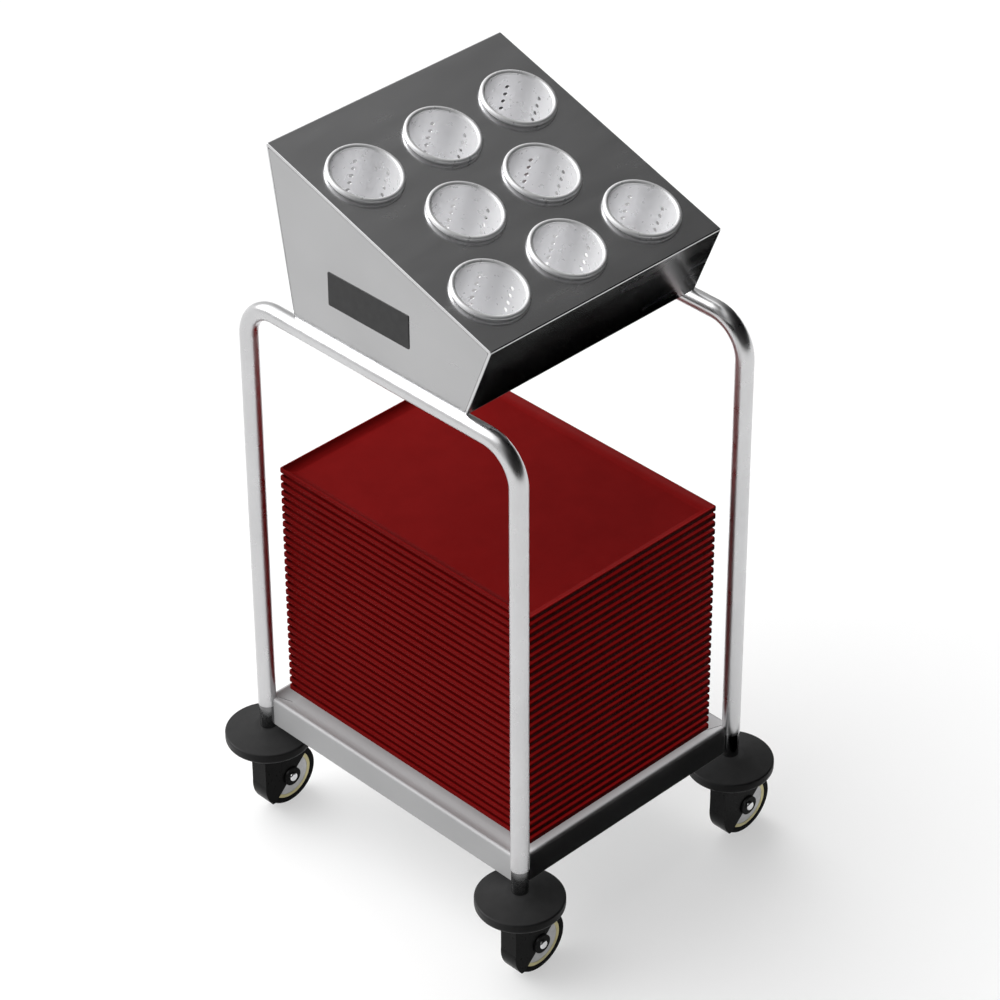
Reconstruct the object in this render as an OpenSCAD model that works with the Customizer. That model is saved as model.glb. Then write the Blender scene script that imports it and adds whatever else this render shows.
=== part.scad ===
// Cutlery and tray trolley: two bent tube hoops on four castors carry a dished
// shelf with a pile of trays, and a sloping box with lift-out cutlery cups.
// The origin is on the floor under the middle of the four legs, +X is to the
// user's right, -Y is the front and +Z is up. All sizes are millimetres.

/* [Frame] */
// Distance between the two hoops, tube centre to tube centre
hoop_spacing = 450; // [440:1:520]
// Distance between the two legs of a hoop, tube centre to tube centre
leg_spacing = 548; // [540:1:640]
// Length of a leg, from its lower end to the centre of the top rail
leg_length = 731; // [700:1:800]
// Outside diameter of the frame tube
tube_d = 28; // [26:0.5:32]
// Wall of the frame tube
tube_wall = 1.5; // [1:0.1:2.5]
// Radius of a hoop's bends, at the centre of the tube
bend_r = 60; // [45:1:80]

/* [Shelf] */
// Height of the shelf's rim above the lower ends of the legs
shelf_overlap = 14; // [8:0.5:30]
// Height of the shelf's upright skirt
skirt_h = 47.5; // [35:0.5:60]
// Width of the sloping lip around the shelf
lip_w = 27; // [20:0.5:28]
// How far the shelf's floor lies below its rim
lip_drop = 12; // [6:0.5:16]
// Radius of the shelf's folded rim
rim_fold_r = 4; // [2.5:0.25:6]
// Thickness of the shelf's sheet
shelf_sheet = 1.5; // [1:0.1:2]
// Width of the open mitre between two lips
mitre_slit = 1; // [0.5:0.1:2]

/* [Cutlery box] */
// How far the box's side panel stands inside the centre of the rail
box_inset = 0; // [0:0.25:4]
// Length of the box at its open bottom
box_bottom_l = 348; // [330:1:380]
// Height of the box's front edge above its bottom
box_front_h = 121; // [115:1:140]
// How far the front edge overhangs the bottom
box_front_out = 48; // [35:1:60]
// Height of the box's back edge above its bottom
box_back_h = 264.5; // [250:0.5:290]
// How far the back edge overhangs the bottom
box_back_out = 44.5; // [30:0.5:60]
// Thickness of the wrapped front, top and back sheet
wrap_sheet = 1.5; // [1:0.1:2]
// Thickness of a side panel with its folded edge
side_t = 2.5; // [1.5:0.1:4]
// Outer radius of the box's folds
box_fold_r = 2.5; // [2:0.25:5]
// Thickness of the folded hem along the sides of the wrapped sheet
hem_t = 4; // [3:0.25:6]
// Width of the folded hem
hem_w = 8; // [6:0.5:12]
// Seam between the hem and a side panel
box_seam = 0.5; // [0.2:0.1:0.8]
// Length of the bare plate on the left panel
plate_l = 162; // [100:1:200]
// Height of the bare plate
plate_h = 54; // [30:1:60]
// Thickness of the bare plate
plate_t = 1; // [0.5:0.1:2]
// Distance of the plate's middle behind the centre of the box
plate_y = 18; // [0:1:30]
// Height of the plate's middle above the bottom of the box
plate_z = 81; // [60:1:90]

/* [Cutlery cups] */
// Inside diameter of a cup
cup_bore = 97; // [90:0.5:100]
// Wall of a cup
cup_wall = 1; // [0.6:0.1:1.5]
// Depth of a cup below the box's sloping top
cup_depth = 128; // [100:1:130]
// Thickness of the rolled rim of a cup
bead_d = 8; // [5:0.25:9]
// Distance between neighbouring cups
cup_pitch = 148; // [140:1:148]
// Distance from the box's front edge to the front row of cups
cup_front = 85; // [75:1:95]
// Diameter of the drain holes
drain_d = 6.5; // [4:0.25:8]
// Depth of the first row of drain holes below the box's sloping top
drain_first = 20; // [15:0.5:25]
// Distance between the rows of drain holes
drain_pitch = 14; // [12:0.25:20]
// Number of columns of drain holes around a cup
drain_cols = 6; // [4:1:8]

/* [Trays] */
// Width of a tray
tray_w = 384; // [350:1:392]
// Length of a tray
tray_l = 521; // [480:1:525]
// Corner radius of a tray
tray_corner_r = 4; // [3:0.5:20]
// Least corner radius of a tray's dish
tray_dish_r = 1.5; // [1:0.25:4]
// Height of a tray's dish, from the underside to the rim
tray_rise = 12; // [9:0.5:16]
// Height of a tray's outer edge
tray_edge_h = 6.5; // [3:0.25:7]
// Width of the flat top of a tray's rim
tray_rim_w = 3; // [2:0.25:5]
// Run of a tray's sloping wall
tray_slope = 16; // [10:0.5:20]
// Thickness of a tray's floor
tray_floor_t = 3; // [2:0.25:4]
// Height from one tray to the next
tray_pitch = 13.9; // [12:0.1:16]
// Number of trays on the shelf
tray_count = 30; // [4:1:34]
// Diameter of the stacking feet under a tray
foot_d = 20; // [12:1:30]
// Distance of a stacking foot from the tray's edges
foot_inset = 50; // [35:1:80]

/* [Castors] */
// Diameter of a wheel
wheel_d = 101; // [80:1:120]
// Width of a wheel
wheel_w = 26; // [22:0.5:32]
// Trail of a wheel: how far its axle lies behind the swivel stem
wheel_trail = 28.5; // [20:0.5:34]
// Thickness of the tyre
tyre_t = 10; // [7:0.25:12]
// Radius of the tyre's shoulders
tyre_shoulder_r = 3; // [2:0.25:6]
// Width of the pale rim ring that shows around the hub cover
rim_ring_w = 6; // [3:0.25:8]
// Thickness of a hub cover
cover_t = 1.2; // [0.6:0.1:2]
// Diameter of the axle
axle_d = 10; // [8:0.5:12]
// Diameter of the axle's heads
axle_head_d = 14; // [12.5:0.5:18]
// Thickness of the axle's heads
axle_head_t = 3.5; // [2:0.25:5]
// Wall of the hood
hood_wall = 1.8; // [1.6:0.1:4]
// Space between the hood and the wheel
hood_space = 0.8; // [0.6:0.1:2]
// Height of the hood's lower end above the floor
hood_low = 16; // [10:0.5:30]
// Diameter of the bosses that hold the axle
boss_d = 31; // [20:0.5:36]
// How far the bosses stand out from the hood's sides
boss_out = 3; // [1:0.25:5]
// Height of the swivel head above the hood's drum
head_rise = 27.4; // [25:0.2:45]
// Diameter of the swivel head
head_d = 40; // [36:0.5:48]
// Diameter of the swivel stem
stem_d = 12; // [10:0.5:14]
// Diameter of the bumper disc
disc_d = 135; // [110:1:150]
// Height of the bumper disc at its middle
disc_h = 27.5; // [20:0.5:32]
// Height of the bumper disc at its rim
disc_rim_h = 18; // [14:0.5:20]
// Radius of the rounding under the bumper disc's rim
disc_under_r = 7; // [3:0.25:10]
// Radius of the bumper disc's upper edge
disc_edge_r = 2.5; // [1:0.25:4]
// Diameter of the flat middle of the disc
disc_hub_d = 40; // [34:1:50]
// Space between the bumper disc and the shelf's skirt
disc_space = 7.8; // [3:0.2:30]
// Thickness of the thrust washer under the disc
washer_t = 1.8; // [1:0.1:3]
// Diameter of the sleeve under a leg
sleeve_d = 26; // [25:0.25:28]

/* [Fits] */
// Radial clearance of a turning pin, a pressed plug or a welded notch
run_gap = 0.05; // [0.02:0.01:0.1]
// Gap under a piece that rests loosely on another
seat_gap = 0.3; // [0.2:0.05:0.5]
// Radial clearance of a cup in its hole
cup_play = 1; // [0.5:0.1:2]

/* [Hidden] */
$fn = 96;
EPS = 0.01;
OVER = 1;
LEFT = -1;
RIGHT = 1;
FRONT = -1;
BACK = 1;

// Sizes of a castor's hood, which wraps around the wheel
tube_r = tube_d / 2;
wheel_r = wheel_d / 2;
rim_r = wheel_r - tyre_t;
hood_r_in = wheel_r + hood_space;
hood_r = hood_r_in + hood_wall;
hood_half_in = wheel_w / 2 + hood_space;
hood_half = hood_half_in + hood_wall;
boss_half = hood_half + boss_out;

// Heights of the pieces, from the floor up
head_top = wheel_r + hood_r + head_rise;
washer_z = head_top + seat_gap;
disc_z = washer_z + washer_t + seat_gap;
disc_top = disc_z + disc_h;
sleeve_z = disc_top + seat_gap;
shelf_top = disc_top + disc_space + skirt_h;
shelf_floor = shelf_top - lip_drop;
leg_end = shelf_top - shelf_overlap;
rail_z = leg_end + leg_length;

// Sleeve, stem and the ring that holds the swivel head on the stem
plug_length = 36;
plug_cap = 7;
sleeve_length = leg_end - sleeve_z;
stem_in_sleeve = sleeve_length + plug_length - plug_cap;
stem_in_head = 26;
stem_end_room = 2;
ring_t = 2;
ring_depth = 1;
ring_height = 8;

// Swivel head, disc and washer
head_t = 6;
front_inset = 0.4;
recess_wall = 8;
washer_d = 30;
rim_back = 0.5;

// Flat part of a lip that laps the shelf's floor
lip_tongue = 6;

// Outline of the box seen from the right side, as points [y, z]
box_half = hoop_spacing / 2 - box_inset;
box_z = rail_z + sqrt(tube_r * tube_r - box_inset * box_inset) + run_gap;
box_y = box_bottom_l / 2;
front_edge = [-box_y - box_front_out, box_z + box_front_h];
back_edge = [box_y + box_back_out, box_z + box_back_h];
box_outline = [[-box_y, box_z], [box_y, box_z], back_edge, front_edge];
slope_v = back_edge - front_edge;
slope_a = atan2(slope_v[1], slope_v[0]);
slope_l = norm(slope_v);

// Flange of a side panel under the sloping top
flange_w = 12;
flange_t = 1.2;
flange_end = 14;

// Tabs, studs and nuts that hold the box on the rails
tab_t = 3;
tab_w = 40;
tab_h = 34;
stud_d = 6;
stud_h = 20;
stud_spacing = 240;
stud_end = 2;
nut_w = 10;
nut_t = 5;
tab_hole_play = 0.4;
tab_x = box_half - side_t;
tab_z = rail_z + sqrt(pow(tube_r, 2) - pow(hoop_spacing / 2 - tab_x, 2)) + run_gap;

// Cups
cup_r = cup_bore / 2;
cup_outer_r = cup_r + cup_wall;
bead_r = bead_d / 2;
bead_lap = 0.4;
cup_floor_t = 1.2;
floor_hole_ring = 28;
row_pitch = cup_pitch * sin(60);
drain_margin = 10;
drain_rows = 1 + floor((cup_depth - cup_floor_t - drain_margin - drain_first) / drain_pitch);

// Trays
nest_gap = 0.2;
foot_h = tray_pitch - tray_floor_t - nest_gap;
tray_z = shelf_floor + seat_gap;

// Offset of an outline that runs counter-clockwise
function inward(p, q) = let (d = (q - p) / norm(q - p)) [-d[1], d[0]];
function inset_corner(o, i, t) =
    let (
        n = len(o),
        before = inward(o[(i + n - 1) % n], o[i]),
        after = inward(o[i], o[(i + 1) % n])
    )
    o[i] + t * (before + after) / (1 + before * after);
function inset(o, t) = [for (i = [0:len(o) - 1]) inset_corner(o, i, t)];

// Point on the line through two points [y, z] at a height
function at_height(p, q, z) = p + (q - p) * (z - p[1]) / (q[1] - p[1]);

// Outline of the box set in on its front, top and back alone, with its bottom at a height
function inset_box(t, z) =
    let (o = inset(box_outline, t))
    [at_height(o[0], o[3], z), at_height(o[1], o[2], z), o[2], o[3]];

// Points of an arc, from one angle to another
function arc(c, r, from, to, steps = 8) =
    [for (i = [0:steps]) let (a = from + (to - from) * i / steps) c + r * [cos(a), sin(a)]];

// A convex outline with every corner rounded
module rounded_outline(o, r) {
    core = inset(o, r);
    n = len(o);
    polygon(core);
    for (i = [0:n - 1]) {
        a = core[i];
        b = core[(i + 1) % n];
        out = r * inward(a, b);
        polygon([a, a - out, b - out, b]);
        translate(a) circle(r);
    }
}

module rounded_rect(w, l, r) {
    rounded_outline([[-w, -l] / 2, [w, -l] / 2, [w, l] / 2, [-w, l] / 2], r);
}

// Lays a [y, z] outline across the trolley, from x to x + t
module across(x, t) {
    translate([x, 0, 0]) rotate([90, 0, 90]) linear_extrude(t) children();
}

// Puts its children at each leg, or at one leg
module at_leg(side, end) {
    translate([side * hoop_spacing / 2, end * leg_spacing / 2, 0]) children();
}

module at_legs() {
    for (side = [LEFT, RIGHT], end = [FRONT, BACK]) at_leg(side, end) children();
}

// Frame

module hoop_rod(r, extra = 0) {
    straight = leg_spacing - 2 * bend_r;
    bend_z = rail_z - bend_r;
    for (end = [FRONT, BACK]) {
        translate([0, end * leg_spacing / 2, leg_end - extra])
            cylinder(r = r, h = bend_z - leg_end + extra);
        mirror([0, end == BACK ? 0 : 1, 0])
            translate([0, straight / 2, bend_z])
            rotate([90, 0, 90])
            rotate_extrude(angle = 90)
            translate([bend_r, 0]) circle(r);
    }
    translate([0, straight / 2, rail_z]) rotate([90, 0, 0]) cylinder(r = r, h = straight);
}

module hoop(side) {
    color("gainsboro")
    translate([side * hoop_spacing / 2, 0, 0])
    difference() {
        hoop_rod(tube_r);
        hoop_rod(tube_r - tube_wall, OVER);
    }
}

// One side of the shelf's edge: skirt, folded rim and sloping lip, as [inward, up]
function shelf_edge() =
    let (
        t = shelf_sheet,
        lean = atan2(lip_drop, lip_w - rim_fold_r),
        c = [rim_fold_r, -rim_fold_r],
        outer = arc(c, rim_fold_r, 180, 90 - lean),
        inner = arc(c, rim_fold_r - t, 90 - lean, 180)
    )
    concat(
        [[0, -skirt_h]], outer,
        [[lip_w, -lip_drop], [lip_w + lip_tongue, -lip_drop]],
        [[lip_w + lip_tongue, -lip_drop - t], [lip_w - t * tan(lean / 2), -lip_drop - t]],
        inner, [[t, -skirt_h]]
    );

module shelf_rail(length) {
    end = length / 2 - mitre_slit / sqrt(2);
    reach = lip_w + lip_tongue + OVER;
    intersection() {
        rotate([90, 0, 90]) linear_extrude(length, center = true) polygon(shelf_edge());
        translate([0, 0, -skirt_h - OVER])
            linear_extrude(skirt_h + 2 * OVER)
            polygon([[-end - OVER, -OVER], [end + OVER, -OVER],
                     [end - reach, reach], [reach - end, reach]]);
    }
}

module base_shelf() {
    color("silver")
    difference() {
        translate([0, 0, shelf_top]) {
            for (end = [0, 180])
                rotate(end) translate([0, -leg_spacing / 2, 0]) shelf_rail(hoop_spacing);
            for (end = [90, 270])
                rotate(end) translate([0, -hoop_spacing / 2, 0]) shelf_rail(leg_spacing);
            translate([0, 0, -lip_drop - shelf_sheet])
                linear_extrude(shelf_sheet)
                square([hoop_spacing - 2 * lip_w, leg_spacing - 2 * lip_w], center = true);
        }
        at_legs() translate([0, 0, shelf_top - skirt_h - OVER])
            cylinder(r = tube_r + run_gap, h = skirt_h + 2 * OVER);
    }
}

// Cutlery box

// Puts its children on the sloping top, at x and at a distance up from the front edge
module on_slope(x, up) {
    at = front_edge + up * slope_v / slope_l;
    translate([x, at[0], at[1]]) rotate([slope_a, 0, 0]) children();
}

// Place of a cup: column in steps of the pitch, row from the front
function cup_x(column) = column * cup_pitch;
function cup_up(row) = cup_front + row * row_pitch;
CUPS = [[-1, 0], [0, 0], [1, 0], [-0.5, 1], [0.5, 1], [-1, 2], [0, 2], [1, 2]];

module box_wrap() {
    mouth_z = box_z - 2 * box_fold_r;
    color("dimgray")
    difference() {
        across(-box_half, 2 * box_half) rounded_outline(box_outline, box_fold_r);
        across(hem_w - box_half, 2 * (box_half - hem_w))
            rounded_outline(inset_box(wrap_sheet, mouth_z), box_fold_r - wrap_sheet);
        across(-box_half - OVER, 2 * (box_half + OVER)) polygon(inset_box(hem_t, mouth_z));
        for (c = CUPS) on_slope(cup_x(c[0]), cup_up(c[1]))
            cylinder(r = cup_outer_r + cup_play, h = cup_bore, center = true);
    }
}

module side_panel() {
    top = hem_t + box_seam;
    panel = inset_box(top, box_z);
    below = inset_box(top + flange_t, box_z);
    along = flange_end * slope_v / slope_l;
    flange = [panel[3] + along, below[3] + along, below[2] - along, panel[2] - along];
    across(box_half - side_t, side_t) rounded_outline(panel, box_fold_r);
    across(tab_x - flange_w, flange_w + EPS) polygon(flange);
    for (end = [FRONT, BACK])
        translate([tab_x - tab_t - nut_t - stud_end, end * stud_spacing / 2, box_z + stud_h])
        rotate([0, 90, 0]) cylinder(d = stud_d, h = tab_t + nut_t + stud_end + EPS);
}

module box_side(side) {
    color("lightgray") mirror([side == RIGHT ? 0 : 1, 0, 0]) side_panel();
}

module side_plate() {
    color([0.2, 0.2, 0.2])
    across(-box_half - plate_t, plate_t)
        translate([plate_y, box_z + plate_z]) square([plate_l, plate_h], center = true);
}

// Puts its children at each stud, on the inner face of the side panel, X pointing inwards
module at_studs() {
    for (side = [LEFT, RIGHT], end = [FRONT, BACK])
        mirror([side == RIGHT ? 1 : 0, 0, 0])
        translate([-tab_x, end * stud_spacing / 2, box_z + stud_h]) children();
}

module box_tabs() {
    low = tab_z - box_z - stud_h;
    color("silver")
    at_studs() difference() {
        translate([0, -tab_w / 2, low]) cube([tab_t, tab_w, tab_h]);
        rotate([0, 90, 0]) cylinder(d = stud_d + 2 * tab_hole_play, h = 3 * tab_t, center = true);
    }
}

module box_nuts() {
    color("silver")
    at_studs() translate([tab_t, 0, 0]) rotate([0, 90, 0]) difference() {
        cylinder(d = nut_w / cos(30), h = nut_t, $fn = 6);
        translate([0, 0, -OVER]) cylinder(d = stud_d + 2 * run_gap, h = nut_t + 2 * OVER);
    }
}

// Cup, standing on its own axis with z = 0 at the sloping top
module cup_form() {
    bead_z = bead_r + seat_gap;
    difference() {
        union() {
            translate([0, 0, -cup_depth]) difference() {
                cylinder(r = cup_outer_r, h = cup_depth + bead_z);
                translate([0, 0, cup_floor_t]) cylinder(r = cup_r, h = cup_depth + bead_z);
            }
            translate([0, 0, bead_z])
                rotate_extrude() translate([cup_r + bead_r + bead_lap, 0]) circle(bead_r);
        }
        for (col = [0:drain_cols - 1], row = [0:drain_rows - 1])
            rotate(col * 360 / drain_cols)
            translate([cup_r / 2, 0, -drain_first - row * drain_pitch])
            rotate([0, 90, 0]) cylinder(d = drain_d, h = cup_r);
        translate([0, 0, -cup_depth - OVER]) {
            cylinder(d = 1.5 * drain_d, h = cup_floor_t + 2 * OVER);
            for (i = [0:5]) rotate(60 * i) translate([floor_hole_ring, 0, 0])
                cylinder(d = drain_d, h = cup_floor_t + 2 * OVER);
        }
    }
}

module cup(i) {
    color("whitesmoke") on_slope(cup_x(CUPS[i][0]), cup_up(CUPS[i][1])) cup_form();
}

// Trays

// Dish between two outlines: half profile [half width, height] on both axes, corners rounded
module dish(w, l, r, low, high, run, edge, above) {
    function profile(size) = [
        [run - size / 2, low], [size / 2 - run, low], [size / 2, high - edge],
        [size / 2, high + above], [-size / 2, high + above], [-size / 2, high - edge]
    ];
    intersection() {
        rotate([90, 0, 0]) linear_extrude(l + OVER, center = true) polygon(profile(w));
        rotate([90, 0, 90]) linear_extrude(w + OVER, center = true) polygon(profile(l));
        linear_extrude(high + above + OVER) rounded_rect(w, l, r);
    }
}

module tray_form() {
    top = foot_h + tray_rise;
    rim = 2 * tray_rim_w;
    difference() {
        dish(tray_w, tray_l, tray_corner_r, foot_h, top, tray_slope + tray_rim_w, tray_edge_h, 0);
        dish(tray_w - rim, tray_l - rim, max(tray_corner_r - tray_rim_w, tray_dish_r),
             foot_h + tray_floor_t, top, tray_slope, 0, OVER);
    }
    for (side = [LEFT, RIGHT], end = [FRONT, BACK])
        translate([side * (tray_w / 2 - foot_inset), end * (tray_l / 2 - foot_inset), 0])
        cylinder(d = foot_d, h = foot_h + EPS);
}

module tray(i) {
    color("darkred") translate([0, 0, tray_z + i * tray_pitch]) tray_form();
}

module tray_stack() {
    for (i = [0:tray_count - 2]) tray(i);
}

module top_tray() {
    tray(tray_count - 1);
}

// Castors

module castor_sleeves() {
    color([0.12, 0.12, 0.13])
    at_legs() translate([0, 0, sleeve_z]) difference() {
        union() {
            cylinder(d = sleeve_d, h = sleeve_length);
            cylinder(r = tube_r - tube_wall - run_gap, h = sleeve_length + plug_length);
        }
        translate([0, 0, -OVER])
            cylinder(r = stem_d / 2 + run_gap, h = stem_in_sleeve + run_gap + OVER);
    }
}

module castor_stems() {
    low = head_top - stem_in_head;
    color("silver")
    at_legs() difference() {
        translate([0, 0, low]) cylinder(d = stem_d, h = sleeve_z + stem_in_sleeve - low);
        translate([0, 0, low + ring_height]) difference() {
            cylinder(r = stem_d, h = ring_t);
            translate([0, 0, -OVER]) cylinder(r = stem_d / 2 - ring_depth, h = ring_t + 2 * OVER);
        }
    }
}

module stem_rings() {
    low = head_top - stem_in_head + ring_height;
    color("gray")
    at_legs() translate([0, 0, low + run_gap]) difference() {
        cylinder(r = stem_d / 2 + ring_depth, h = ring_t - 2 * run_gap);
        translate([0, 0, -OVER])
            cylinder(r = stem_d / 2 - ring_depth + run_gap, h = ring_t + 2 * OVER);
    }
}

module thrust_washers() {
    color("silver")
    at_legs() translate([0, 0, washer_z]) difference() {
        cylinder(d = washer_d, h = washer_t);
        translate([0, 0, -OVER]) cylinder(r = stem_d / 2 + run_gap, h = washer_t + 2 * OVER);
    }
}

module bumper_disc(side, end) {
    disc_r = disc_d / 2;
    under = disc_r - disc_under_r;
    edge = disc_r - disc_edge_r;
    edge_z = disc_rim_h - disc_edge_r;
    hub = disc_hub_d / 2;
    color([0.2, 0.2, 0.21])
    at_leg(side, end) translate([0, 0, disc_z]) difference() {
        rotate_extrude() {
            polygon([[0, 0], [under, 0], [under, disc_under_r], [disc_r, disc_under_r],
                     [disc_r, edge_z], [edge, edge_z], [edge, disc_rim_h], [hub, disc_h],
                     [0, disc_h]]);
            translate([under, disc_under_r]) circle(disc_under_r);
            translate([edge, edge_z]) circle(disc_edge_r);
        }
        translate([0, 0, -OVER]) difference() {
            cylinder(r = under - recess_wall, h = disc_under_r + OVER);
            cylinder(r = hub, h = disc_under_r + 2 * OVER);
        }
        translate([0, 0, -OVER]) cylinder(r = stem_d / 2 + run_gap, h = disc_h + 2 * OVER);
    }
}

// Lays its children on the wheel's axle, with their own axis along Y
module on_axle() {
    translate([wheel_trail, 0, wheel_r]) rotate([90, 0, 0]) children();
}

module hood_form() {
    bore = stem_in_head + stem_end_room;
    front = hood_r - front_inset;
    ring_low = stem_in_head - ring_height - ring_t;
    difference() {
        union() {
            difference() {
                intersection() {
                    on_axle() cylinder(r = hood_r, h = 2 * hood_half, center = true);
                    translate([wheel_trail, 0, wheel_r]) rotate([0, 45, 0])
                        translate([-2 * hood_r, -2 * hood_half, -2 * hood_r])
                        cube([2 * hood_r, 4 * hood_half, 4 * hood_r]);
                }
                translate([-2 * hood_r, -2 * hood_half, hood_low - 2 * hood_r])
                    cube([4 * hood_r, 4 * hood_half, 2 * hood_r]);
            }
            translate([wheel_trail - front, -hood_half, wheel_r])
                cube([front, 2 * hood_half, head_top - head_t / 2 - wheel_r]);
            on_axle() cylinder(d = boss_d, h = 2 * boss_half, center = true);
            translate([0, 0, head_top - head_t]) cylinder(d = head_d, h = head_t);
        }
        on_axle() cylinder(r = hood_r_in, h = 2 * hood_half_in, center = true);
        on_axle() cylinder(r = axle_d / 2 + run_gap, h = 3 * boss_half, center = true);
        translate([0, 0, head_top - bore]) cylinder(r = stem_d / 2 + run_gap, h = bore + OVER);
        translate([0, 0, head_top - ring_low - ring_t - seat_gap])
            cylinder(r = stem_d / 2 + ring_depth + seat_gap, h = ring_t + 2 * seat_gap);
    }
}

module castor_hood(side, end) {
    color([0.08, 0.08, 0.09]) at_leg(side, end) hood_form();
}

module axle(side, end) {
    color("whitesmoke")
    at_leg(side, end) on_axle() {
        cylinder(d = axle_d, h = 2 * boss_half + EPS, center = true);
        for (face = [-1, 1])
            translate([0, 0, face * (boss_half + axle_head_t / 2)])
            cylinder(d = axle_head_d, h = axle_head_t, center = true);
    }
}

module wheel_rim(side, end) {
    color("cornsilk")
    at_leg(side, end) on_axle() difference() {
        cylinder(r = rim_r - run_gap, h = wheel_w - 2 * rim_back, center = true);
        for (face = [-1, 1])
            translate([0, 0, face * wheel_w / 2])
            cylinder(r = rim_r - rim_ring_w, h = 2 * (rim_back + cover_t), center = true);
        cylinder(r = axle_d / 2 + run_gap, h = 2 * wheel_w, center = true);
    }
}

module hub_covers(side, end) {
    seat = wheel_w / 2 - rim_back - cover_t;
    color("silver")
    at_leg(side, end) on_axle() for (face = [-1, 1])
        translate([0, 0, face * (seat + cover_t / 2)]) difference() {
            cylinder(r = rim_r - rim_ring_w - run_gap, h = cover_t, center = true);
            cylinder(r = axle_head_d / 2, h = 2 * cover_t, center = true);
        }
}

module tyre(side, end) {
    shoulder = tyre_shoulder_r;
    flat = wheel_w / 2 - shoulder;
    color([0.06, 0.06, 0.06])
    at_leg(side, end) on_axle() rotate_extrude() {
        translate([rim_r, -wheel_w / 2]) square([tyre_t - shoulder, wheel_w]);
        translate([rim_r, -flat]) square([tyre_t, 2 * flat]);
        for (face = [-1, 1])
            translate([wheel_r - shoulder, face * flat]) circle(shoulder);
    }
}

hoop(LEFT);  // hoop_left
hoop(RIGHT);  // hoop_right
base_shelf();
box_wrap();
box_side(LEFT);  // box_side_left
box_side(RIGHT);  // box_side_right
side_plate();
box_tabs();
box_nuts();
castor_sleeves();
castor_stems();
stem_rings();
thrust_washers();
cup(0);  // cup_front_left
cup(1);  // cup_front_middle
cup(2);  // cup_front_right
cup(3);  // cup_middle_left
cup(4);  // cup_middle_right
cup(5);  // cup_back_left
cup(6);  // cup_back_middle
cup(7);  // cup_back_right
tray_stack();
top_tray();
bumper_disc(LEFT, FRONT);  // bumper_disc_front_left
bumper_disc(RIGHT, FRONT);  // bumper_disc_front_right
bumper_disc(LEFT, BACK);  // bumper_disc_back_left
bumper_disc(RIGHT, BACK);  // bumper_disc_back_right
castor_hood(LEFT, FRONT);  // castor_hood_front_left
castor_hood(RIGHT, FRONT);  // castor_hood_front_right
castor_hood(LEFT, BACK);  // castor_hood_back_left
castor_hood(RIGHT, BACK);  // castor_hood_back_right
axle(LEFT, FRONT);  // axle_front_left
axle(RIGHT, FRONT);  // axle_front_right
axle(LEFT, BACK);  // axle_back_left
axle(RIGHT, BACK);  // axle_back_right
wheel_rim(LEFT, FRONT);  // wheel_rim_front_left
wheel_rim(RIGHT, FRONT);  // wheel_rim_front_right
wheel_rim(LEFT, BACK);  // wheel_rim_back_left
wheel_rim(RIGHT, BACK);  // wheel_rim_back_right
hub_covers(LEFT, FRONT);  // hub_covers_front_left
hub_covers(RIGHT, FRONT);  // hub_covers_front_right
hub_covers(LEFT, BACK);  // hub_covers_back_left
hub_covers(RIGHT, BACK);  // hub_covers_back_right
tyre(LEFT, FRONT);  // tyre_front_left
tyre(RIGHT, FRONT);  // tyre_front_right
tyre(LEFT, BACK);  // tyre_back_left
tyre(RIGHT, BACK);  // tyre_back_right
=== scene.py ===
"""Cutlery and tray trolley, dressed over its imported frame. Sizes are metres, +Z is up."""
import math

import bmesh
import bpy
from mathutils import Matrix, Vector


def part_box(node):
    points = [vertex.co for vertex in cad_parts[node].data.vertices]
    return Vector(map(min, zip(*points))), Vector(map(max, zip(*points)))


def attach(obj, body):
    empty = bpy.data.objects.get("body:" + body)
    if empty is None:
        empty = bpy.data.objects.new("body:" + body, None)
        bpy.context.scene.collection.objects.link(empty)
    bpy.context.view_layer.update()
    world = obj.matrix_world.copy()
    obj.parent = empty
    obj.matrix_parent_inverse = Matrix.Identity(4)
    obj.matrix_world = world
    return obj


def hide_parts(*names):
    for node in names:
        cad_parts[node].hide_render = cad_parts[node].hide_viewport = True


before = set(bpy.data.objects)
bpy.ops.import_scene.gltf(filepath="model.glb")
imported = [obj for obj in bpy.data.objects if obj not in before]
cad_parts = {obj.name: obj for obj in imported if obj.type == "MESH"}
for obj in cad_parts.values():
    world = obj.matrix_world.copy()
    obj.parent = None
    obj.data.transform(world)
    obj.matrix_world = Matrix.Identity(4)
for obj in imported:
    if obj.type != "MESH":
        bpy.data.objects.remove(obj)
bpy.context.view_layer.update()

MM = 0.001
QUARTER_TURN = math.pi / 2
SIDES = ("left", "right")
CORNERS = ("front_left", "front_right", "back_left", "back_right")
CUPS = ("front_left", "front_middle", "front_right", "middle_left", "middle_right",
        "back_left", "back_middle", "back_right")
HIDDEN_NODES = ("box_tabs", "box_nuts", "castor_stems", "stem_rings", "thrust_washers")

# Camera, with its lens and sensor in millimetres

CAMERA_PLACE = Vector((-3.22529, -3.30216, 3.87281))
CAMERA_RIGHT = Vector((0.712187, -0.701973, -0.004848))
CAMERA_UP = Vector((0.408293, 0.408596, 0.816300))
CAMERA_LENS = 139.22
CAMERA_SENSOR = 36.0
CAMERA_REACH = 200.0


def set_up_camera():
    data = bpy.data.cameras.new("photo_camera")
    data.sensor_fit = "HORIZONTAL"
    data.sensor_width = CAMERA_SENSOR
    data.lens = CAMERA_LENS
    data.clip_end = CAMERA_REACH
    camera = bpy.data.objects.new("photo_camera", data)
    bpy.context.scene.collection.objects.link(camera)
    back = CAMERA_RIGHT.cross(CAMERA_UP)
    turn = Matrix((CAMERA_RIGHT, CAMERA_UP, back)).transposed().to_4x4()
    camera.matrix_world = Matrix.Translation(CAMERA_PLACE) @ turn
    bpy.context.scene.camera = camera


# Materials

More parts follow.
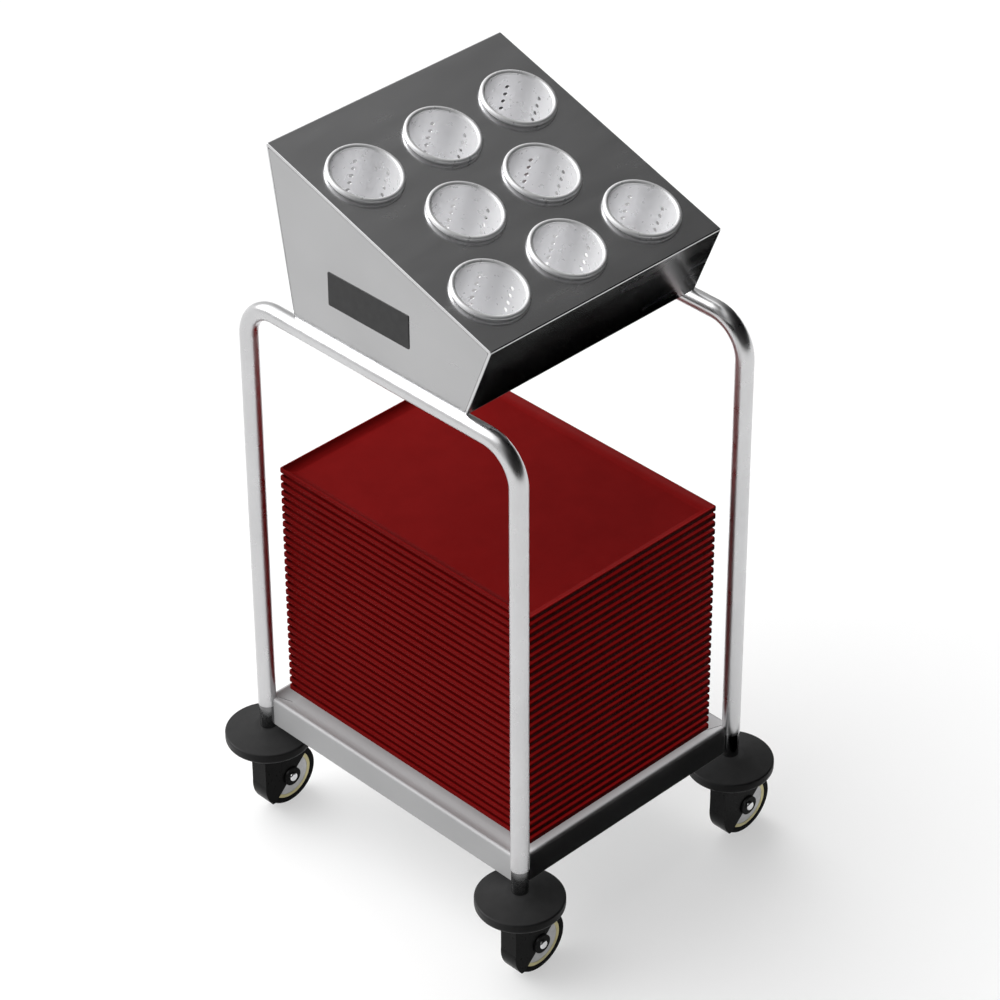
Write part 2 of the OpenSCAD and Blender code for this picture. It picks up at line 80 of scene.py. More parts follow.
NOISE_LOW = 0.3
NOISE_HIGH = 0.7
BLUE_CAST = 1.01


class Finish:
    """A material with its shader and the nodes that vary it over the piece."""

    def __init__(self, name, metallic=0.0, specular=0.5):
        self.material = bpy.data.materials.new(name)
        self.material.use_nodes = True
        self.nodes = self.material.node_tree.nodes
        self.links = self.material.node_tree.links
        self.shader = self.nodes["Principled BSDF"]
        self.set("Metallic", metallic)
        self.set("Specular IOR Level", specular)
        self.place = self.nodes.new("ShaderNodeTexCoord").outputs["Object"]

    def set(self, socket, value):
        self.shader.inputs[socket].default_value = value

    def noise(self, scale, detail, stretch=(1, 1, 1)):
        """Grain with this many cells to the metre, stretched along an axis by a small factor."""
        mapping = self.nodes.new("ShaderNodeMapping")
        mapping.inputs["Scale"].default_value = stretch
        self.links.new(self.place, mapping.inputs["Vector"])
        texture = self.nodes.new("ShaderNodeTexNoise")
        texture.inputs["Scale"].default_value = scale
        texture.inputs["Detail"].default_value = detail
        self.links.new(mapping.outputs["Vector"], texture.inputs["Vector"])
        return texture.outputs["Fac"]

    def tint(self, value, low, high):
        """Base colour between two linear colours."""
        ramp = self.nodes.new("ShaderNodeValToRGB")
        first, last = ramp.color_ramp.elements
        first.position, last.position = NOISE_LOW, NOISE_HIGH
        first.color, last.color = (*low, 1), (*high, 1)
        self.links.new(value, ramp.inputs["Fac"])
        self.links.new(ramp.outputs["Color"], self.shader.inputs["Base Color"])

    def roughness(self, value, low, high):
        span = self.nodes.new("ShaderNodeMapRange")
        span.inputs["From Min"].default_value = NOISE_LOW
        span.inputs["From Max"].default_value = NOISE_HIGH
        span.inputs["To Min"].default_value = low
        span.inputs["To Max"].default_value = high
        self.links.new(value, span.inputs["Value"])
        self.links.new(span.outputs["Result"], self.shader.inputs["Roughness"])

    def bump(self, value, strength, depth):
        bump = self.nodes.new("ShaderNodeBump")
        bump.inputs["Strength"].default_value = strength
        bump.inputs["Distance"].default_value = depth
        self.links.new(value, bump.inputs["Height"])
        self.links.new(bump.outputs["Normal"], self.shader.inputs["Normal"])


def grey(level):
    return (level, level, level * BLUE_CAST)


def make_finishes():
    made = {}

    tube = Finish("satin_tube", metallic=1.0)
    tube.tint(tube.noise(scale=9, detail=4), low=grey(0.55), high=grey(0.60))
    tube.roughness(tube.noise(scale=60, detail=4), low=0.26, high=0.34)
    tube.bump(tube.noise(scale=900, detail=2), strength=0.02, depth=0.1 * MM)
    made["tube"] = tube

    sheet = Finish("brushed_sheet", metallic=1.0)
    along_x = sheet.noise(scale=40, detail=5, stretch=(0.2, 1, 1))
    fine_along_x = sheet.noise(scale=1400, detail=2, stretch=(0.03, 1, 1))
    sheet.tint(sheet.noise(scale=6, detail=4), low=grey(0.57), high=grey(0.61))
    sheet.roughness(along_x, low=0.20, high=0.28)
    sheet.bump(fine_along_x, strength=0.015, depth=0.1 * MM)
    made["sheet"] = sheet

    panel = Finish("brushed_panel_painted_shade", metallic=1.0)
    along_y = panel.noise(scale=40, detail=5, stretch=(1, 0.2, 1))
    fine_along_y = panel.noise(scale=1400, detail=2, stretch=(1, 0.03, 1))
    # Darker grey than the wrapped sheet of the same steel: painted shade on the box's sides.
    panel.tint(panel.noise(scale=6, detail=4), low=grey(0.41), high=grey(0.45))
    panel.roughness(along_y, low=0.20, high=0.28)
    panel.bump(fine_along_y, strength=0.015, depth=0.1 * MM)
    made["panel"] = panel

    shelf = Finish("satin_shelf_painted_shade", metallic=0.08, specular=0.05)
    # Darker grey than the box's sheet of the same steel: painted shade, standing for the floor's
    # shadow close to the ground.
    shelf.tint(shelf.noise(scale=6, detail=4), low=grey(0.41), high=grey(0.45))
    shelf.roughness(shelf.noise(scale=40, detail=5), low=0.40, high=0.48)
    made["shelf"] = shelf

    plate = Finish("dark_plate", specular=0.15)
    plate.tint(plate.noise(scale=80, detail=4), low=grey(0.036), high=grey(0.044))
    plate.roughness(plate.noise(scale=500, detail=3), low=0.36, high=0.46)
    plate.bump(plate.noise(scale=2500, detail=2), strength=0.08, depth=0.1 * MM)
    made["plate"] = plate

    zinc = Finish("zinc_plated", metallic=1.0)
    zinc.tint(zinc.noise(scale=120, detail=4), low=grey(0.36), high=grey(0.44))
    zinc.roughness(zinc.noise(scale=220, detail=4), low=0.28, high=0.42)
    made["zinc"] = zinc

    cup = Finish("satin_cup", metallic=0.38)
    cup.set("Specular Tint", (*grey(0.4), 1))
    cup.tint(cup.noise(scale=14, detail=4), low=grey(0.80), high=grey(0.86))
    cup.roughness(cup.noise(scale=90, detail=4), low=0.26, high=0.34)
    made["cup"] = cup

    tray = Finish("red_tray", specular=0.02)
    dark_red = (0.148, 0.0034, 0.0034)
    light_red = (0.166, 0.0044, 0.0044)
    tray.tint(tray.noise(scale=25, detail=5), low=dark_red, high=light_red)
    tray.roughness(tray.noise(scale=160, detail=5), low=0.34, high=0.46)
    tray.bump(tray.noise(scale=1600, detail=3), strength=0.10, depth=0.15 * MM)
    made["tray"] = tray

    disc = Finish("bumper_rubber", specular=0.08)
    disc.tint(disc.noise(scale=60, detail=4), low=grey(0.027), high=grey(0.031))
    disc.roughness(disc.noise(scale=300, detail=4), low=0.38, high=0.50)
    disc.bump(disc.noise(scale=1800, detail=3), strength=0.12, depth=0.15 * MM)
    made["disc"] = disc

    sleeve = Finish("dark_sleeve", metallic=1.0)
    sleeve.tint(sleeve.noise(scale=60, detail=3), low=grey(0.20), high=grey(0.24))
    sleeve.roughness(sleeve.noise(scale=200, detail=3), low=0.16, high=0.26)
    made["sleeve"] = sleeve

    hood = Finish("black_hood", specular=0.05)
    hood.tint(hood.noise(scale=50, detail=4), low=grey(0.005), high=grey(0.007))
    hood.roughness(hood.noise(scale=250, detail=4), low=0.26, high=0.36)
    hood.bump(hood.noise(scale=1500, detail=3), strength=0.06, depth=0.1 * MM)
    made["hood"] = hood

    tyre = Finish("black_tyre", specular=0.05)
    tyre.tint(tyre.noise(scale=70, detail=5), low=grey(0.005), high=grey(0.008))
    tyre.roughness(tyre.noise(scale=260, detail=4), low=0.48, high=0.65)
    tyre.bump(tyre.noise(scale=1200, detail=4), strength=0.15, depth=0.2 * MM)
    made["tyre"] = tyre

    rim = Finish("cream_rim", metallic=0.7)
    dark_cream = (0.64, 0.58, 0.31)
    light_cream = (0.70, 0.64, 0.36)
    rim.tint(rim.noise(scale=60, detail=4), low=dark_cream, high=light_cream)
    rim.roughness(rim.noise(scale=300, detail=3), low=0.38, high=0.50)
    made["rim"] = rim

    axle = Finish("bright_axle", metallic=1.0)
    axle.tint(axle.noise(scale=150, detail=3), low=grey(0.74), high=grey(0.80))
    axle.roughness(axle.noise(scale=400, detail=3), low=0.14, high=0.22)
    made["axle"] = axle
    return {name: finish.material for name, finish in made.items()}


# Modelling helpers

MERGE_DISTANCE = 0.001 * MM
COPY_MERGE_DISTANCE = 0.002 * MM
FLAT_ANGLE = math.radians(0.4)
CREASE_ANGLE = math.radians(32)
EDGE_STEPS = 2
FLAT_FACE_WEIGHT = 90
CORNER_STEPS = 5
ROUND_PROFILE = 0.5
NO_MATERIAL = -1
ROUND_SEGMENTS = 64


def put_out(bm, name, body, material, nodes):
    """Merges the points, turns the faces outwards and makes the piece."""
    bmesh.ops.remove_doubles(bm, verts=bm.verts, dist=MERGE_DISTANCE)
    bmesh.ops.recalc_face_normals(bm, faces=bm.faces)
    put_out_as_is(bm, name, body, material, nodes)


def put_out_as_is(bm, name, body, material, nodes, edge_round=0.0):
    """Makes the piece, with smooth faces between its creases or rounded edges."""
    for face in bm.faces:
        face.smooth = True
    for edge in bm.edges:
        edge.smooth = bool(edge_round) or edge.calc_face_angle(0.0) < CREASE_ANGLE
    mesh = bpy.data.meshes.new(name)
    bm.to_mesh(mesh)
    bm.free()
    mesh.materials.clear()
    mesh.materials.append(material)
    piece = bpy.data.objects.new(name, mesh)
    bpy.context.scene.collection.objects.link(piece)
    if edge_round:
        rounding = piece.modifiers.new("edge_rounding", "BEVEL")
        rounding.width = edge_round
        rounding.segments = EDGE_STEPS
        rounding.limit_method = "ANGLE"
        rounding.angle_limit = CREASE_ANGLE
    flattening = piece.modifiers.new("flat_faces", "WEIGHTED_NORMAL")
    flattening.mode = "FACE_AREA"
    flattening.weight = FLAT_FACE_WEIGHT
    flattening.keep_sharp = True
    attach(piece, body)
    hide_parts(*nodes)


def copied_node(node):
    """A merged copy of a node's solid, with its flat faces joined up."""
    bm = bmesh.new()
    bm.from_mesh(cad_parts[node].data)
    bmesh.ops.remove_doubles(bm, verts=bm.verts, dist=COPY_MERGE_DISTANCE)
    bmesh.ops.dissolve_limit(bm, angle_limit=FLAT_ANGLE, verts=bm.verts, edges=bm.edges)
    return bm


def round_off(bm, geom, radius, steps, affect):
    bmesh.ops.bevel(bm, geom=geom, offset=radius, offset_type="OFFSET", affect=affect,
                    segments=steps, profile=ROUND_PROFILE, material=NO_MATERIAL)


def round_corners(bm, corners, radius, steps=CORNER_STEPS):
    round_off(bm, corners, radius, steps, "VERTICES")


def round_edges(bm, edges, radius, steps):
    round_off(bm, edges, radius, steps, "EDGES")


def turned(points, rounds=(), closed=False, segments=ROUND_SEGMENTS):
    """A piece turned about Z from [radius, height] points. rounds lists (index, radius)."""
    bm = bmesh.new()
    corners = [bm.verts.new((r, 0, z)) for r, z in points]
    for a, b in zip(corners, corners[1:]):
        bm.edges.new((a, b))
    if closed:
        bm.edges.new((corners[-1], corners[0]))
    for index, radius in rounds:
        round_corners(bm, [corners[index]], radius)
    bmesh.ops.spin(bm, geom=bm.verts[:] + bm.edges[:], cent=(0, 0, 0), axis=(0, 0, 1),
                   dvec=(0, 0, 0), angle=math.tau, steps=segments, use_merge=True)
    bmesh.ops.remove_doubles(bm, verts=bm.verts, dist=MERGE_DISTANCE)
    bmesh.ops.recalc_face_normals(bm, faces=bm.faces)
    return bm


def placed(bm, matrix):
    bmesh.ops.transform(bm, matrix=matrix, verts=bm.verts)
    return bm


def gathered(shapes):
    """One bmesh from several, which it takes over."""
    whole = bmesh.new()
    for shape in shapes:
        mesh = bpy.data.meshes.new("shape")
        shape.to_mesh(mesh)
        shape.free()
        whole.from_mesh(mesh)
        bpy.data.meshes.remove(mesh)
    return whole


def new_verts(made):
    """The vertices in what an operator made."""
    return [v for v in made if isinstance(v, bmesh.types.BMVert)]


def ring_of(bm, verts):
    """The edges that join these vertices."""
    kept = set(verts)
    return [e for e in bm.edges if e.verts[0] in kept and e.verts[1] in kept]


def middle(node):
    low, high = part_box(node)
    return (low + high) / 2


# Frame

BEND_R = 60 * MM
BEND_STEPS = 16
TUBE_SEGMENTS = 48
TUBE_END_ROUND = 1.5 * MM
TUBE_END_STEPS = 4


def drawn_out(bm, ring, along):
    """Lengthens a tube from its open ring and gives the new ring."""
    verts = new_verts(bmesh.ops.extrude_edge_only(bm, edges=ring)["geom"])
    bmesh.ops.translate(bm, verts=verts, vec=along)
    return ring_of(bm, verts)


def bent_round(bm, ring, centre):
    """Bends a tube on from its open ring and gives the new ring."""
    start = ring + list({v for e in ring for v in e.verts})
    made = bmesh.ops.spin(bm, geom=start, cent=centre, axis=(-1, 0, 0), dvec=(0, 0, 0),
                          angle=QUARTER_TURN, steps=BEND_STEPS)["geom_last"]
    return ring_of(bm, new_verts(made))


def make_hoop(side, material):
    node = "hoop_" + side
    low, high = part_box(node)
    tube_r = (high.x - low.x) / 2
    x = (high.x + low.x) / 2
    leg_y, rail_z = high.y - tube_r, high.z - tube_r
    bend_z = rail_z - BEND_R
    upright = bend_z - low.z
    bm = bmesh.new()
    bmesh.ops.create_circle(bm, segments=TUBE_SEGMENTS, radius=tube_r,
                            matrix=Matrix.Translation((x, -leg_y, low.z)))
    foot = bm.edges[:]
    ring = drawn_out(bm, foot, (0, 0, upright))
    ring = bent_round(bm, ring, (x, BEND_R - leg_y, bend_z))
    ring = drawn_out(bm, ring, (0, 2 * (leg_y - BEND_R), 0))
    ring = bent_round(bm, ring, (x, leg_y - BEND_R, bend_z))
    ring = drawn_out(bm, ring, (0, 0, -upright))
    ends = foot + ring
    bmesh.ops.edgeloop_fill(bm, edges=foot)
    bmesh.ops.edgeloop_fill(bm, edges=ring)
    round_edges(bm, ends, TUBE_END_ROUND, TUBE_END_STEPS)
    put_out(bm, side + "_hoop_tube", "frame", material, [node])


# Shelf and box

SHELF_EDGE = 0.35 * MM
BOX_EDGE = 0.4 * MM
HEM_ROUND = 1.6 * MM
HEM_STEPS = 4
HEM_PLANE_SLACK = 0.01 * MM
SIDEWAYS = 0.5
DOWNWARDS = -0.9
PLATE_CORNER = 2.0 * MM
PLATE_EDGE = 0.3 * MM
PLATE_EDGE_STEPS = 2


def with_round_hem(bm):
    """Rounds the two folded sides of the wrapped sheet where they face outwards."""
    low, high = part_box("box_wrap")
    centre = (low + high) / 2
    soft = []
    for edge in bm.edges:
        if any(abs(abs(v.co.x) - high.x) > HEM_PLANE_SLACK for v in edge.verts):
            continue
        sheets = [f for f in edge.link_faces
                  if abs(f.normal.x) < SIDEWAYS and f.normal.z > DOWNWARDS]
        if len(sheets) != 1:
            continue
        outwards = sheets[0].calc_center_median() - centre
        if sheets[0].normal.dot(outwards) > 0:
            soft.append(edge)
    round_edges(bm, soft, HEM_ROUND, HEM_STEPS)
    return bm


def make_shelf_and_box(finishes):
    put_out_as_is(copied_node("base_shelf"), "shelf_sheet", "frame",
                  finishes["shelf"], ["base_shelf"], SHELF_EDGE)
    put_out_as_is(with_round_hem(copied_node("box_wrap")), "box_wrapped_sheet", "frame",
                  finishes["sheet"], ["box_wrap"], BOX_EDGE)
    for side in SIDES:
        node = "box_side_" + side
        put_out_as_is(copied_node(node), f"box_{side}_panel", "frame",
                      finishes["panel"], [node], BOX_EDGE)


def make_plate(material):
    low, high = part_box("side_plate")
    centre, size = (low + high) / 2, high - low
    bm = bmesh.new()
    bmesh.ops.create_grid(bm, x_segments=1, y_segments=1, size=0.5)
    bmesh.ops.scale(bm, vec=(size.y, size.z, 1), verts=bm.verts)
    round_corners(bm, bm.verts[:], PLATE_CORNER)
    front = new_verts(bmesh.ops.extrude_face_region(bm, geom=bm.faces[:])["geom"])
    bmesh.ops.translate(bm, verts=front, vec=(0, 0, size.x))
    round_edges(bm, ring_of(bm, front), PLATE_EDGE, PLATE_EDGE_STEPS)
    stand = Matrix(((0, 0, -1, high.x), (-1, 0, 0, centre.y), (0, 1, 0, centre.z), (0, 0, 0, 1)))
    put_out(placed(bm, stand), "bare_side_plate", "frame", material, ["side_plate"])


# Cups


def make_cups(material):
    for where in CUPS:
        node = "cup_" + where
        put_out_as_is(copied_node(node), f"{where}_cup", node, material, [node])


# Trays

TRAY_CORNER = 4 * MM
TRAY_CORNER_STEPS = 4
TRAY_EDGE = 6.5 * MM
TRAY_RISE = 12 * MM
TRAY_FLOOR = 3 * MM
TRAY_RIM = 3 * MM
TRAY_SLOPE = 16 * MM
TRAY_ROUND = 1.0 * MM
TRAY_PITCH = 13.9 * MM
FILLET_STEPS = 6
FILLET_ARC = 0.55
FOOT_R = 10 * MM
FOOT_INSET = 50 * MM
FOOT_LAP = 0.2 * MM
FOOT_SEGMENTS = 24


def step_in(bm, face, inwards, up):
    """Draws a face that is centred on Z out into a smaller one, and lifts it."""
    half = Vector([max(abs(v.co[i]) for v in face.verts) for i in range(2)])
    made = bmesh.ops.extrude_discrete_faces(bm, faces=[face])["faces"][0]
    bmesh.ops.scale(bm, vec=(1 - inwards / half.x, 1 - inwards / half.y, 1), verts=made.verts)
    bmesh.ops.translate(bm, verts=made.verts, vec=(0, 0, up))
    return made


def fillet_point(step):
    """Shares of the run and of the drop of a tray's side, part arc and part straight slope."""
    share = step / FILLET_STEPS
    angle = QUARTER_TURN * share
    run = FILLET_ARC * (1 - math.cos(angle)) + (1 - FILLET_ARC) * share
    drop = FILLET_ARC * math.sin(angle) + (1 - FILLET_ARC) * share
    return run, drop


def add_tray_feet(bm, width, length, height):
    for x in (-1, 1):
        for y in (-1, 1):
            at = (x * (width / 2 - FOOT_INSET), y * (length / 2 - FOOT_INSET),
                  FOOT_LAP - TRAY_RISE - height / 2)
            bmesh.ops.create_cone(bm, cap_ends=True, segments=FOOT_SEGMENTS, radius1=FOOT_R,
                                  radius2=FOOT_R, depth=height, matrix=Matrix.Translation(at))


def tray_shape():
    """A tray with its rim's top at z = 0."""
    low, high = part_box("top_tray")
    width, length, height = high - low
    bm = bmesh.new()
    bmesh.ops.create_grid(bm, x_segments=1, y_segments=1, size=0.5)
    bmesh.ops.scale(bm, vec=(width, length, 1), verts=bm.verts)
    round_corners(bm, bm.verts[:], TRAY_CORNER, TRAY_CORNER_STEPS)
    under = next(iter(bm.faces))
    bmesh.ops.translate(bm, verts=bm.verts, vec=(0, 0, -TRAY_EDGE))
    lift = bmesh.ops.extrude_face_region(bm, geom=[under], use_keep_orig=True)["geom"]
    top = next(f for f in lift if isinstance(f, bmesh.types.BMFace))
    bmesh.ops.translate(bm, verts=top.verts, vec=(0, 0, TRAY_EDGE - TRAY_ROUND))
    soft = TRAY_ROUND * (1 - math.sqrt(0.5))
    top = step_in(bm, top, soft, TRAY_ROUND - soft)
    top = step_in(bm, top, TRAY_ROUND - soft, soft)
    top = step_in(bm, top, TRAY_RIM - 2 * TRAY_ROUND, 0)
    top = step_in(bm, top, TRAY_ROUND - soft, -soft)
    run, drop = TRAY_SLOPE + soft, TRAY_RISE - TRAY_FLOOR - soft
    before = fillet_point(0)
    for step in range(1, FILLET_STEPS + 1):
        now = fillet_point(step)
        top = step_in(bm, top, run * (now[0] - before[0]), -drop * (now[1] - before[1]))
        before = now
    step_in(bm, under, TRAY_RIM + TRAY_SLOPE, TRAY_EDGE - TRAY_RISE)
    add_tray_feet(bm, width, length, height - TRAY_RISE)
    bmesh.ops.recalc_face_normals(bm, faces=bm.faces)
    return bm


def make_trays(material):
    low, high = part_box("top_tray")
    place = Vector(((low.x + high.x) / 2, (low.y + high.y) / 2, high.z))
    put_out(placed(tray_shape(), Matrix.Translation(place)), "tray_on_top", "top_tray",
            material, ["top_tray"])
    stack_low, stack_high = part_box("tray_stack")
    count = round((stack_high.z - stack_low.z - (high.z - low.z)) / TRAY_PITCH) + 1
    pile = []
    for i in range(count):
        place.z = stack_high.z - i * TRAY_PITCH
        pile.append(placed(tray_shape(), Matrix.Translation(place)))
    put_out(gathered(pile), "tray_pile", "tray_stack", material, ["tray_stack"])


# Castors

FIT = 0.05 * MM
STEM_BORE_R = 6 * MM + FIT
SLEEVE_R = 13 * MM
SLEEVE_ROUND = 1.0 * MM
PLUG_R = 12 * MM
DISC_RIM_H = 18 * MM
DISC_HUB_R = 20 * MM
DISC_HUB_ROUND = 3 * MM
DISC_UNDER_R = 7 * MM
DISC_EDGE_R = 2.5 * MM
DISC_RECESS_WALL = 8 * MM
DISC_RECESS_ROUND = 0.8 * MM
WHEEL_SEGMENTS = 96
TYRE_SHOULDER = 3 * MM
TYRE_INNER_ROUND = 0.5 * MM
RIM_R = 40.5 * MM
RIM_RING = 6 * MM
RIM_BACK = 0.5 * MM
RIM_ROUND = 0.5 * MM
COVER_T = 1.2 * MM
COVER_HOLE_R = 7 * MM
COVER_EDGE_DROP = 0.4 * MM
COVER_CROWN_SHARE = 0.86
COVER_CROWN_ROUND = 1.5 * MM
COVER_DISH_SHARE = 0.5
COVER_DISH_DROP = 0.5 * MM
COVER_HOLE_DROP = 0.2 * MM
AXLE_R = 5 * MM
AXLE_HEAD_T = 3.5 * MM
AXLE_HEAD_ROUND = 2.0 * MM
AXLE_SEGMENTS = 48
HOOD_EDGE = 1.0 * MM


def make_sleeves(material):
    low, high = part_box("castor_sleeves")
    leg_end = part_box("hoop_left")[0].z
    points = [(STEM_BORE_R, low.z), (SLEEVE_R, low.z), (SLEEVE_R, leg_end), (PLUG_R, leg_end),
              (PLUG_R, high.z), (0, high.z)]
    shapes = []
    for corner in CORNERS:
        at = middle("bumper_disc_" + corner)
        shapes.append(placed(turned(points, [(1, SLEEVE_ROUND)]),
                             Matrix.Translation((at.x, at.y, 0))))
    put_out(gathered(shapes), "leg_sleeves", "frame", material, ["castor_sleeves"])


def make_disc(corner, material):
    node = "bumper_disc_" + corner
    low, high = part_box(node)
    radius, height = (high.x - low.x) / 2, high.z - low.z
    recess = radius - DISC_UNDER_R - DISC_RECESS_WALL
    points = [(STEM_BORE_R, 0), (DISC_HUB_R, 0), (DISC_HUB_R, DISC_UNDER_R),
              (recess, DISC_UNDER_R), (recess, 0), (radius, 0), (radius, DISC_RIM_H),
              (DISC_HUB_R, height), (STEM_BORE_R, height)]
    rounds = [(5, DISC_UNDER_R), (6, DISC_EDGE_R), (7, DISC_HUB_ROUND), (4, DISC_RECESS_ROUND)]
    at = middle(node)
    bm = placed(turned(points, rounds, closed=True, segments=WHEEL_SEGMENTS),
                Matrix.Translation((at.x, at.y, low.z)))
    put_out(bm, f"{corner}_bumper", "disc_" + corner, material, [node])


def on_axle(corner):
    return (Matrix.Translation(middle("tyre_" + corner))
            @ Matrix.Rotation(QUARTER_TURN, 4, "X"))


def wheel_ring(points, rounds, axle):
    return placed(turned(points, rounds, closed=True, segments=WHEEL_SEGMENTS), axle)


def make_wheel(corner, finishes):
    axle = on_axle(corner)
    low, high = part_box("tyre_" + corner)
    wheel_r, half = (high.x - low.x) / 2, (high.y - low.y) / 2
    body = "wheel_" + corner
    points = [(RIM_R, -half), (wheel_r, -half), (wheel_r, half), (RIM_R, half)]
    rounds = [(1, TYRE_SHOULDER), (2, TYRE_SHOULDER), (0, TYRE_INNER_ROUND),
              (3, TYRE_INNER_ROUND)]
    put_out(wheel_ring(points, rounds, axle), f"{corner}_tyre", body, finishes["tyre"],
            ["tyre_" + corner])

    face = half - RIM_BACK
    seat = face - COVER_T
    ring = RIM_R - RIM_RING
    outer = RIM_R - FIT
    bore = AXLE_R + FIT
    points = [(bore, -seat), (ring, -seat), (ring, -face), (outer, -face),
              (outer, face), (ring, face), (ring, seat), (bore, seat)]
    rounds = [(i, RIM_ROUND) for i in (2, 3, 4, 5)]
    put_out(wheel_ring(points, rounds, axle), f"{corner}_rim", body, finishes["rim"],
            ["wheel_rim_" + corner])

    cover_r = ring - FIT
    points = [(COVER_HOLE_R, seat), (cover_r, seat), (cover_r, face - COVER_EDGE_DROP),
              (cover_r * COVER_CROWN_SHARE, face),
              (cover_r * COVER_DISH_SHARE, face - COVER_DISH_DROP),
              (COVER_HOLE_R, face - COVER_HOLE_DROP)]
    covers = []
    for turn in (0, math.pi):
        covers.append(placed(turned(points, [(3, COVER_CROWN_ROUND)], closed=True),
                             axle @ Matrix.Rotation(turn, 4, "X")))
    put_out(gathered(covers), f"{corner}_hub_covers", body, finishes["zinc"],
            ["hub_covers_" + corner])


def make_axle(corner, material):
    node = "axle_" + corner
    low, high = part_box(node)
    half, head_r = (high.y - low.y) / 2, (high.z - low.z) / 2
    neck = half - AXLE_HEAD_T
    points = [(0, -half), (head_r, -half), (head_r, -neck), (AXLE_R, -neck), (AXLE_R, neck),
              (head_r, neck), (head_r, half), (0, half)]
    rounds = [(1, AXLE_HEAD_ROUND), (6, AXLE_HEAD_ROUND)]
    put_out(placed(turned(points, rounds, segments=AXLE_SEGMENTS), on_axle(corner)),
            f"{corner}_axle_pin", "swivel_" + corner, material, [node])


def make_castors(finishes):
    make_sleeves(finishes["sleeve"])
    for corner in CORNERS:
        make_disc(corner, finishes["disc"])
        make_wheel(corner, finishes)
        make_axle(corner, finishes["axle"])
        node = "castor_hood_" + corner
        put_out_as_is(copied_node(node), f"{corner}_hood", "swivel_" + corner,
                      finishes["hood"], [node], HOOD_EDGE)


def dress_hidden_nodes(material):
    """Fastenings keep their solids and get a plated finish."""
    for node in HIDDEN_NODES:
        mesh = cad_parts[node].data
        mesh.materials.clear()
        mesh.materials.append(material)


# Studio, with each flag's size and middle, and each sun's direction, strength and spread in degrees

BLACK = (0, 0, 0, 1)
WHITE = (1, 1, 1, 1)
FLOOR_SIZE = (60.0, 60.0, 0)
FLOOR_PLACE = (0, 0, 0)
FLOOR_COLOUR = (0.96, 0.96, 0.96, 1)
SHELF_FLAG_SIZE = (0.45, 0, 0.1)
SHELF_FLAG_PLACE = (0.025, -0.30, 0.15)
BOX_FLAG_SIZE = (0.41, 0.16, 0)
BOX_FLAG_PLACE = (0.0, -0.21, 0.935)
BOX_END_FLAG_SIZE = (0.14, 0.16, 0)
BOX_END_FLAG_PLACE = (0.312, -0.21, 0.935)
BACK_LIGHT_FROM = (-0.36, 0.75, 0.55)
BACK_LIGHT_STRENGTH = 3.0
BACK_LIGHT_SPREAD = 30
TOP_LIGHT_FROM = (-0.25, 0.5, 0.83)
TOP_LIGHT_STRENGTH = 1.1
TOP_LIGHT_SPREAD = 70
ROOM_AXIS = (-0.35, 0.94, 0.0)
ROOM_DARK_UP_TO = -0.24
ROOM_BRIGHT_FROM = 0.50
ROOM_DARK = 0.005
ROOM_BRIGHT = 0.70


def stage_sheet(name, size, place, colour):
    """A flat sheet. One of its three sizes is 0, across its plane."""
    bm = bmesh.new()
    bmesh.ops.create_grid(bm, x_segments=1, y_segments=1, size=0.5)
    if size[1] == 0:
        bmesh.ops.rotate(bm, cent=(0, 0, 0), verts=bm.verts,
                         matrix=Matrix.Rotation(QUARTER_TURN, 3, "X"))
    bmesh.ops.scale(bm, vec=size, verts=bm.verts)
    mesh = bpy.data.meshes.new(name)
    bm.to_mesh(mesh)
    bm.free()
    sheet = bpy.data.objects.new(name, mesh)
    sheet.location = place
    bpy.context.scene.collection.objects.link(sheet)
    made = bpy.data.materials.new(name)
    made.use_nodes = True
    shader = made.node_tree.nodes["Principled BSDF"]
    shader.inputs["Base Color"].default_value = colour
    shader.inputs["Roughness"].default_value = 1.0
    shader.inputs["Specular IOR Level"].default_value = 0.0
    mesh.materials.append(made)
    return sheet


def add_reflected_shade_flag(name, size, place):
    """A black sheet that only reflections see: painted shade in the reflections of the front faces
    near it.
    """
    flag = stage_sheet(name, size, place, BLACK)
    flag.visible_camera = False
    flag.visible_diffuse = False
    flag.visible_shadow = False


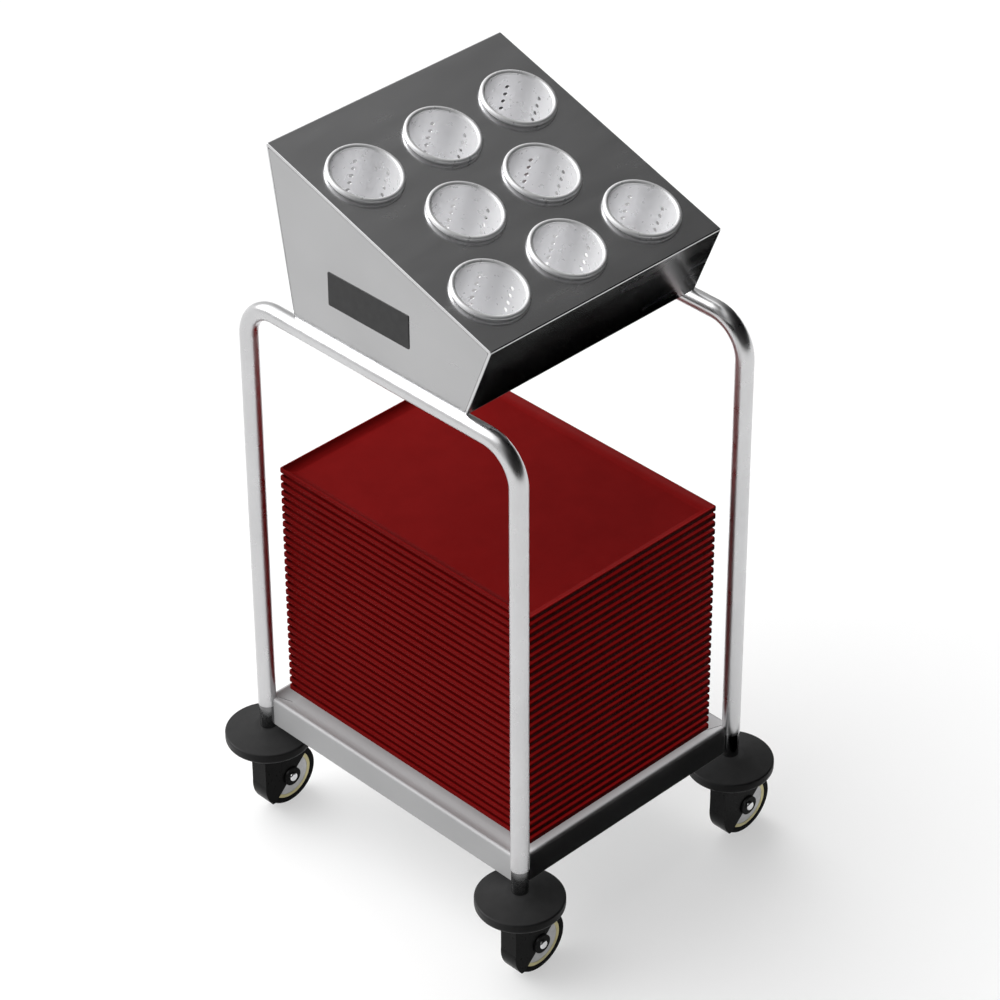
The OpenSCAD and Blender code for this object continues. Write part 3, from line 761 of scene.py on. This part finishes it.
def add_sun(name, towards, strength, spread, shadow=True):
    data = bpy.data.lights.new(name, "SUN")
    data.energy = strength
    data.angle = math.radians(spread)
    data.use_shadow = shadow
    lamp = bpy.data.objects.new(name, data)
    lamp.rotation_mode = "QUATERNION"
    lamp.rotation_quaternion = Vector(towards).to_track_quat("Z", "Y")
    bpy.context.scene.collection.objects.link(lamp)


def set_up_room():
    """A room that is bright at the back and to the left, and dark in front."""
    world = bpy.data.worlds.new("studio_room")
    world.use_nodes = True
    nodes, links = world.node_tree.nodes, world.node_tree.links
    look = nodes.new("ShaderNodeTexCoord").outputs["Generated"]
    across = nodes.new("ShaderNodeVectorMath")
    across.operation = "DOT_PRODUCT"
    across.inputs[1].default_value = ROOM_AXIS
    links.new(look, across.inputs[0])
    span = nodes.new("ShaderNodeMapRange")
    span.interpolation_type = "SMOOTHSTEP"
    span.inputs["From Min"].default_value = ROOM_DARK_UP_TO
    span.inputs["From Max"].default_value = ROOM_BRIGHT_FROM
    span.inputs["To Min"].default_value = ROOM_DARK
    span.inputs["To Max"].default_value = ROOM_BRIGHT
    links.new(across.outputs["Value"], span.inputs["Value"])
    links.new(span.outputs["Result"], nodes["Background"].inputs["Strength"])
    nodes["Background"].inputs["Color"].default_value = WHITE
    bpy.context.scene.world = world


def set_up_studio():
    floor = stage_sheet("pale_floor", FLOOR_SIZE, FLOOR_PLACE, FLOOR_COLOUR)
    floor.visible_diffuse = False
    # Black flags, seen only in reflections, paint shade onto the shelf's and the box's front faces.
    add_reflected_shade_flag("shelf_shade_flag", SHELF_FLAG_SIZE, SHELF_FLAG_PLACE)
    add_reflected_shade_flag("box_shade_flag", BOX_FLAG_SIZE, BOX_FLAG_PLACE)
    add_reflected_shade_flag("box_end_shade_flag", BOX_END_FLAG_SIZE, BOX_END_FLAG_PLACE)
    set_up_room()
    add_sun("back_left_light", BACK_LIGHT_FROM, BACK_LIGHT_STRENGTH, BACK_LIGHT_SPREAD,
            shadow=False)
    add_sun("top_light", TOP_LIGHT_FROM, TOP_LIGHT_STRENGTH, TOP_LIGHT_SPREAD)
    bpy.context.scene.view_settings.view_transform = "Standard"


set_up_camera()
finishes = make_finishes()
for side in SIDES:
    make_hoop(side, finishes["tube"])
make_shelf_and_box(finishes)
make_plate(finishes["plate"])
make_cups(finishes["cup"])
make_trays(finishes["tray"])
make_castors(finishes)
dress_hidden_nodes(finishes["zinc"])
set_up_studio()
